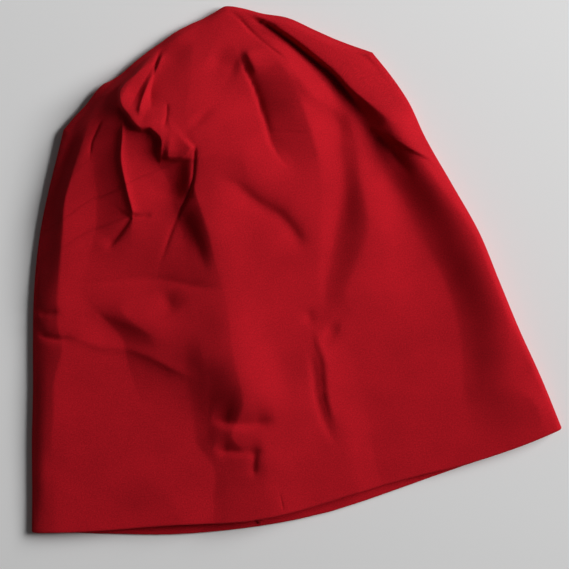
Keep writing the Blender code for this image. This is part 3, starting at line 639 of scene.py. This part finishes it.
# %% Indices, lip and faces of the shell
rows, columns = len(UP), len(ACROSS)
front_ids = np.arange(rows * columns).reshape(rows, columns)
used = front_ids.size
back_ids = np.empty((rows, len(BACK_COLUMNS)), int)
back_ids[:-1, 1:-1] = used + np.arange((rows - 1) * (len(BACK_COLUMNS) - 2)).reshape(rows - 1, -1)
back_ids[:, 0], back_ids[:, -1], back_ids[-1] = front_ids[:, 0], front_ids[:, -1], front_ids[-1, BACK_COLUMNS]
used += (rows - 1) * (len(BACK_COLUMNS) - 2)
inner_first = used + np.arange(columns)
used += columns
inner_front_ids = used + np.arange(INNER_ROWS * len(INNER_COLUMNS)).reshape(INNER_ROWS, -1)
used += inner_front_ids.size
inner_back_ids = np.empty((INNER_ROWS + 1, len(BACK_COLUMNS)), int)
inner_back_ids[:-1, 1:-1] = used + np.arange(INNER_ROWS * (len(BACK_COLUMNS) - 2)).reshape(INNER_ROWS, -1)
inner_back_ids[0, [0, -1]] = inner_first[[0, -1]]
inner_back_ids[1:, 0], inner_back_ids[1:, -1] = inner_front_ids[:, 0], inner_front_ids[:, -1]
back_in_inner = np.searchsorted(INNER_COLUMNS, BACK_COLUMNS)
inner_back_ids[-1] = inner_front_ids[-1, back_in_inner]
used += INNER_ROWS * (len(BACK_COLUMNS) - 2)
outer_loop = np.concatenate([front_ids[0], back_ids[0, -2:0:-1]])
inner_loop = np.concatenate([inner_first, inner_back_ids[0, -2:0:-1]])
lip_ids = used + np.arange((LIP_STEPS - 1) * len(outer_loop)).reshape(LIP_STEPS - 1, -1)
rings = np.concatenate([outer_loop[None], lip_ids, inner_loop[None]])

points = np.concatenate([
    outer_front.reshape(-1, 3),
    outer_back[:-1, 1:-1].reshape(-1, 3),
    inner_front[0],
    inner_front[1:, INNER_COLUMNS].reshape(-1, 3),
    inner_back[:-1, 1:-1].reshape(-1, 3),
])
outward = np.concatenate([
    (outer_front[0] - outer_front[1])[:, :2],
    (outer_back[0] - outer_back[1])[-2:0:-1, :2],
])
outward = np.column_stack([outward / np.linalg.norm(outward, axis=1)[:, None], np.zeros(len(outward))])
angle = np.pi * np.arange(1, LIP_STEPS)[:, None, None] / LIP_STEPS
centre = (points[outer_loop] + points[inner_loop]) / 2
half = (points[outer_loop] - points[inner_loop]) / 2
bulge = np.linalg.norm(half, axis=1)[:, None]
lip = centre + half * np.cos(angle) + outward * bulge * np.sin(angle)
points = np.concatenate([points, lip.reshape(-1, 3)])
print("points", len(points), "lip", lip.shape)

# %% [markdown]
# ## A map that follows the cloth
#
# The stitches of the jersey are as large on the flank of a fold as on the flat. So the UV map isn't the
# plan: U is the length along the cloth, across, from the middle column, and V is the length along it, up
# from the hem, both in metres. The back counts on from the two sides, and its two halves meet at the back
# seam, where the real cloth is joined too.

# %% Lengths along the cloth


def along_rows(sheet, start):
    """Length across each row of a sheet, 0 at the column start."""
    length = np.linalg.norm(np.diff(sheet, axis=1), axis=2)
    length = np.concatenate([np.zeros((len(sheet), 1)), np.cumsum(length, 1)], 1)
    return length - length[:, [start]]


def along_columns(sheet):
    """Length up each column of a sheet, 0 at its first row."""
    length = np.linalg.norm(np.diff(sheet, axis=0), axis=2)
    return np.concatenate([np.zeros((1, sheet.shape[1])), np.cumsum(length, 0)])


SEAM_ACROSS = 0.416
LIP_LENGTH = 0.0030
uv_front = np.stack([along_rows(outer_front, columns // 2), along_columns(outer_front)], 2)
from_left = along_rows(outer_back, 0)
from_right = along_rows(outer_back, -1)
seam_column = np.abs(ACROSS[BACK_COLUMNS] - SEAM_ACROSS).argmin()
left_half = np.arange(len(BACK_COLUMNS)) <= seam_column
u_left = uv_front[:, :1, 0] - from_left
u_right = uv_front[:, -1:, 0] - from_right
v_back = along_columns(outer_back)
uv_back = np.stack([np.where(left_half, u_left, u_right), v_back], 2)
uv_back_right = np.stack([u_right, v_back], 2)
v_inner_front = -LIP_LENGTH - along_columns(inner_front)
v_inner_back = -LIP_LENGTH - along_columns(inner_back)
uv_inner_front = np.stack([along_rows(inner_front, columns // 2), v_inner_front], 2)
uv_inner_back = np.stack([along_rows(inner_back, seam_column), v_inner_back], 2)
uv_ring_u = np.concatenate([uv_front[0, :, 0], uv_back[0, -2:0:-1, 0]])
uv_ring_v = -LIP_LENGTH * np.linspace(0, 1, LIP_STEPS + 1)[:, None]
uv_rings = np.stack([np.broadcast_to(uv_ring_u, rings.shape), np.broadcast_to(uv_ring_v, rings.shape)], 2)
print("cloth across the middle of the front, m", np.ptp(uv_front[rows // 2, :, 0]))

# %% Put the shell together


def sheet_faces(indices, uvs, flip):
    """Cells of a grid and the UVs of their corners."""
    return grid_corners(indices, flip), grid_corners(uvs, flip)


def new_mesh_object(name, points, parts):
    """A mesh object from points and a list of (faces, uv of each corner). Quads and triangles may mix."""
    corners = np.concatenate([faces.ravel() for faces, _ in parts])
    uvs = np.concatenate([uv.reshape(-1, 2) for _, uv in parts])
    sizes = np.concatenate([np.full(len(faces), faces.shape[1]) for faces, _ in parts])
    starts = np.concatenate([[0], np.cumsum(sizes)[:-1]])
    mesh = bpy.data.meshes.new(name)
    mesh.vertices.add(len(points))
    mesh.vertices.foreach_set("co", np.ascontiguousarray(points, np.float32).ravel())
    mesh.loops.add(len(corners))
    mesh.loops.foreach_set("vertex_index", corners.astype(np.int32))
    mesh.polygons.add(len(sizes))
    mesh.polygons.foreach_set("loop_start", starts.astype(np.int32))
    mesh.uv_layers.new(name="cloth").data.foreach_set("uv", uvs.astype(np.float32).ravel())
    mesh.update(calc_edges=True)
    mesh.validate()
    mesh.shade_smooth()
    item = bpy.data.objects.new(name, mesh)
    bpy.context.scene.collection.objects.link(item)
    return item


seam_cells = slice(seam_column, None)
parts = [
    sheet_faces(front_ids, uv_front, False),
    sheet_faces(back_ids[:-1, :seam_column + 1], uv_back[:-1, :seam_column + 1], True),
    sheet_faces(back_ids[:-1, seam_cells], uv_back_right[:-1, seam_cells], True),
    (band_corners(front_ids[-1], back_ids[-2], BACK_COLUMNS, True, True),
     band_corners(uv_front[-1], uv_back[-2], BACK_COLUMNS, True, True)),
    (band_corners(inner_first, inner_front_ids[0], INNER_COLUMNS, False, True),
     band_corners(uv_inner_front[0], uv_inner_front[1, INNER_COLUMNS], INNER_COLUMNS, False, True)),
    sheet_faces(inner_front_ids, uv_inner_front[1:, INNER_COLUMNS], True),
    sheet_faces(inner_back_ids[:-1], uv_inner_back[:-1], False),
    (band_corners(inner_front_ids[-1], inner_back_ids[-2], back_in_inner, True, False),
     band_corners(uv_inner_front[-1, INNER_COLUMNS], uv_inner_back[-2], back_in_inner, True, False)),
    (ring_corners(rings), ring_corners(uv_rings)),
]
shift = np.array([*((low + high) / 2)[:2], 0.0])
shift[1] = (min(outer_back[..., 1].min(), low[1]) + high[1]) / 2
shell = new_mesh_object("jersey_shell_cloth", points - shift, parts)
triangles = sum(len(faces) * (faces.shape[1] - 2) for faces, _ in parts)
print("shell", len(points), "points", triangles, "triangles")

# %% [markdown]
# ## The welt of the back seam
#
# One seam closes the tube. Its two allowances lie inside, between the layers, so on the inner side it shows
# as a low welt up the middle of the back. It is a profile carried along a path: a flattened round, 3.6 mm
# wide, with the hollow of the stitch line down its middle, and it tapers at its two ends.

# %% Make the welt
SEAM_WIDTH = 0.0036
SEAM_THICKNESS = 0.0008
SEAM_GAP = 0.0003
SEAM_FROM = 0.418
SEAM_LEAN = 0.052
SEAM_UP = 0.90
SEAM_INSET = 0.0012
SEAM_LENGTH = 0.21
GROOVE_DEPTH = 0.30
GROOVE_WIDTH = 0.22
TAPER_POWER = 60
TAPER_LEAST = 0.1
AROUND = 2.2
PROFILE_STEPS = 16
SEAM_STEPS = 120
turn = 2 * np.pi * np.arange(PROFILE_STEPS) / PROFILE_STEPS
side = np.cos(turn)
rise = np.sin(turn)
groove = GROOVE_DEPTH * np.exp(-(side / GROOVE_WIDTH) ** 2) * (rise > 0)
t = np.linspace(0, 1, SEAM_STEPS + 1)
line = plan(SEAM_FROM + SEAM_LEAN * t * SEAM_UP, t * SEAM_UP, BACK_HEM)
line[:, 1] += SEAM_INSET * (1 - t)
taper = np.sqrt(np.clip(1 - (2 * np.abs(t - 0.5)) ** TAPER_POWER, 0, 1))[:, None]
taper = taper * (1 - TAPER_LEAST) + TAPER_LEAST
welt_x = line[:, :1] + SEAM_WIDTH / 2 * side * taper
welt_z = WALL + SEAM_GAP + SEAM_THICKNESS / 2 * (1 + (rise - groove) * taper)
welt = np.stack([welt_x, np.broadcast_to(line[:, 1:], welt_x.shape), welt_z], 2)
welt_index = np.arange(welt[..., 0].size).reshape(welt.shape[:2])
welt_points = np.concatenate([welt.reshape(-1, 3), welt[[0, -1]].mean(1)])
closed = np.concatenate([welt_index, welt_index[:, :1]], 1)
welt_u = np.broadcast_to(np.linspace(0, SEAM_WIDTH * AROUND, PROFILE_STEPS + 1), closed.shape)
welt_v = np.broadcast_to((t * SEAM_LENGTH)[:, None], closed.shape)
welt_uv = np.stack([welt_u, welt_v], 2)
first_end, last_end = np.full(PROFILE_STEPS, welt_index.size), np.full(PROFILE_STEPS, welt_index.size + 1)
start_cap = np.stack([first_end, closed[0, :-1], closed[0, 1:]], 1)
end_cap = np.stack([last_end, closed[-1, 1:], closed[-1, :-1]], 1)
cap_uv = np.zeros((PROFILE_STEPS, 3, 2))
welt_parts = [sheet_faces(closed, welt_uv, True), (start_cap, cap_uv), (end_cap, cap_uv)]
back_seam = new_mesh_object("back_seam_welt", welt_points - shift, welt_parts)
print("welt", len(welt_points), "points")

# %% [markdown]
# ## The jersey
#
# Cotton jersey is matt, with a soft bloom of fibre at the surface that catches light at a grazing angle:
# that is sheen. Close up it is columns of small V-shaped stitches, about 15 to the centimetre. From a
# metre away they are only a fine mottling, so the stitches are in the bump, and the colour has a mottling of
# its own. The stitches come from the cloth's own map: a fold of U gives the two legs of each V, and V plus a
# share of that leg gives the slant. A little noise keeps the columns from being ruled lines.

# %% Jersey material
STITCH_WIDTH = 0.00068
STITCH_HEIGHT = 0.00052
STITCH_SLANT = 0.55
ROW_RELIEF = 0.28
FUZZ_RELIEF = 1.6
RELIEF_DEPTH = 0.00018
WANDER = 0.0005
WANDER_SCALE = 320.0
FUZZ_SCALE = 2600.0
GRAIN_SCALE = 1500.0
BROAD_SCALE = 60.0
BROAD_SHARE = 0.35
TONE_RANGE = (0.42, 0.92)
SHEEN = 0.06
SHEEN_TINT = (0.80, 0.06, 0.09, 1.0)


def add(tree, kind, values=None, **settings):
    """A node with its settings, and its inputs by name or number."""
    node = tree.nodes.new(kind)
    for name, value in settings.items():
        setattr(node, name, value)
    for key, value in (values or {}).items():
        if isinstance(value, bpy.types.NodeSocket):
            tree.links.new(value, node.inputs[key])
        else:
            node.inputs[key].default_value = value
    return node


def math(tree, operation, *values):
    return add(tree, "ShaderNodeMath", dict(enumerate(values)), operation=operation).outputs[0]


def noise(tree, where, scale, detail, output="Fac"):
    values = {"Vector": where, "Scale": scale, "Detail": detail}
    return add(tree, "ShaderNodeTexNoise", values).outputs[output]


def jersey(name, base, fine, mottle):
    """Knitted cloth: a base colour that is mottled by a share of itself, stitches in the bump, and sheen."""
    material = bpy.data.materials.new(name)
    material.use_nodes = True
    tree = material.node_tree
    shader = tree.nodes["Principled BSDF"]
    where = add(tree, "ShaderNodeUVMap", uv_map="cloth").outputs["UV"]
    wander = noise(tree, where, WANDER_SCALE, 2.0, "Color")
    push = add(tree, "ShaderNodeVectorMath", {0: wander, 1: (0.5, 0.5, 0.5)}, operation="SUBTRACT").outputs[0]
    push = add(tree, "ShaderNodeVectorMath", {0: push, "Scale": WANDER}, operation="SCALE").outputs[0]
    place = add(tree, "ShaderNodeVectorMath", {0: where, 1: push}, operation="ADD").outputs[0]
    split = add(tree, "ShaderNodeSeparateXYZ", {0: place})
    leg = math(tree, "PINGPONG", math(tree, "DIVIDE", split.outputs["X"], STITCH_WIDTH), 0.5)
    leg = math(tree, "MULTIPLY", leg, 2.0)
    course = math(tree, "DIVIDE", split.outputs["Y"], STITCH_HEIGHT)
    slant = math(tree, "MULTIPLY_ADD", leg, STITCH_SLANT, course)
    row = math(tree, "SINE", math(tree, "MULTIPLY", slant, 2 * np.pi))
    arch = math(tree, "SINE", math(tree, "MULTIPLY", leg, np.pi))
    stitch = math(tree, "MULTIPLY_ADD", row, ROW_RELIEF, arch)
    height = math(tree, "MULTIPLY_ADD", noise(tree, where, FUZZ_SCALE, 3.0), FUZZ_RELIEF, stitch)
    bump = add(tree, "ShaderNodeBump", {"Height": height, "Strength": fine, "Distance": RELIEF_DEPTH})
    tree.links.new(bump.outputs["Normal"], shader.inputs["Normal"])
    grain, broad = noise(tree, where, GRAIN_SCALE, 2.0), noise(tree, where, BROAD_SCALE, 3.0)
    ramp = add(tree, "ShaderNodeValToRGB", {"Fac": math(tree, "MULTIPLY_ADD", broad, BROAD_SHARE, grain)})
    for end, place, amount in zip(ramp.color_ramp.elements, TONE_RANGE, (1 - mottle, 1 + mottle)):
        end.position = place
        end.color = [*(np.array(base) * amount).tolist(), 1]
    tree.links.new(ramp.outputs["Color"], shader.inputs["Base Color"])
    shader.inputs["Roughness"].default_value = 0.92
    shader.inputs["Specular IOR Level"].default_value = 0.06
    shader.inputs["Sheen Weight"].default_value = SHEEN
    shader.inputs["Sheen Roughness"].default_value = 0.45
    shader.inputs["Sheen Tint"].default_value = SHEEN_TINT
    return material


jersey_red = jersey("red_jersey", base=(0.510, 0.0086, 0.0172), fine=0.80, mottle=0.22)
seam_red = jersey("red_jersey_seam", base=(0.42, 0.0072, 0.0145), fine=0.80, mottle=0.22)
for item, node, material in ((shell, "jersey_shell", jersey_red), (back_seam, "back_seam", seam_red)):
    item.data.materials.append(material)
    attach(item, "root")
    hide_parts(node)
print("materials", [m.name for m in bpy.data.materials])

# %% [markdown]
# ## The cut of the cloth
#
# The real hat is cut flat: a tube 0.50 m around and 0.24 m long, with the crown's corners cut away, and
# every part of it is two layers, which this shell has as its outer and its inner side.

# %% [markdown]
# ## Table, light and camera
#
# The hat lies on a plain pale table. One large soft lamp stands to the right, like a window, rather low, so
# the folds that face it are bright and the far sides go dark. It doesn't look at the hat, but past it to the
# far left, so the light falls off from the upper right corner of the picture to the lower left one. A weak
# even world light fills the shadows. The camera looks straight down from 1.1 m with a long lens, turned by
# 11 degrees as in the photograph.

# %% Table
TABLE_REACH = 4.0
TABLE_DROP = 0.0002
table_mesh = bpy.data.meshes.new("table")
corners = [(x * TABLE_REACH, y * TABLE_REACH, -TABLE_DROP) for x, y in [(-1, -1), (1, -1), (1, 1), (-1, 1)]]
table_mesh.from_pydata(corners, [], [(0, 1, 2, 3)])
table = bpy.data.objects.new("table", table_mesh)
bpy.context.scene.collection.objects.link(table)
table_paint = bpy.data.materials.new("pale_table")
table_paint.use_nodes = True
table_shader = table_paint.node_tree.nodes["Principled BSDF"]
table_shader.inputs["Base Color"].default_value = (0.85, 0.85, 0.85, 1)
table_shader.inputs["Roughness"].default_value = 0.8
table_shader.inputs["Specular IOR Level"].default_value = 0.2
table.data.materials.append(table_paint)

# %% Lamp and world
LAMP_AWAY = 2.5
LAMP_AZIMUTH = np.radians(16)
LAMP_ELEVATION = np.radians(29)
LAMP_WIDTH = 2.1
LAMP_HEIGHT = 1.1
LAMP_POWER = 120.5
LAMP_TARGET = (-2.0, 3.4, 0.8)
WORLD_LIGHT = 0.05


def aim(item, target):
    """Turns an object so that its -Z looks at the target."""
    item.rotation_euler = (Vector(target) - item.location).to_track_quat("-Z", "Y").to_euler()


lamp_data = bpy.data.lights.new("window", "AREA")
lamp_data.shape = "RECTANGLE"
lamp_data.size = LAMP_WIDTH
lamp_data.size_y = LAMP_HEIGHT
lamp_data.energy = LAMP_POWER
lamp = bpy.data.objects.new("window", lamp_data)
bpy.context.scene.collection.objects.link(lamp)
lamp.location = (
    LAMP_AWAY * np.cos(LAMP_ELEVATION) * np.cos(LAMP_AZIMUTH),
    LAMP_AWAY * np.cos(LAMP_ELEVATION) * np.sin(LAMP_AZIMUTH),
    LAMP_AWAY * np.sin(LAMP_ELEVATION),
)
aim(lamp, LAMP_TARGET)
world = bpy.data.worlds.new("room")
world.use_nodes = True
world.node_tree.nodes["Background"].inputs["Color"].default_value = (1, 1, 1, 1)
world.node_tree.nodes["Background"].inputs["Strength"].default_value = WORLD_LIGHT
bpy.context.scene.world = world

# %% Camera
VIEW_WIDTH = 0.2639
VIEW_HEIGHT = 1.1
VIEW_TURN = np.radians(-11.122)
VIEW_MIDDLE = (0.0119, -0.0122)
SENSOR = 36.0
camera_data = bpy.data.cameras.new("camera")
camera_data.sensor_width = SENSOR
camera_data.lens = SENSOR * VIEW_HEIGHT / VIEW_WIDTH
camera = bpy.data.objects.new("camera", camera_data)
bpy.context.scene.collection.objects.link(camera)
camera.location = (*VIEW_MIDDLE, VIEW_HEIGHT)
camera.rotation_euler = (0, 0, VIEW_TURN)
bpy.context.scene.camera = camera
bpy.context.scene.view_settings.view_transform = "Standard"
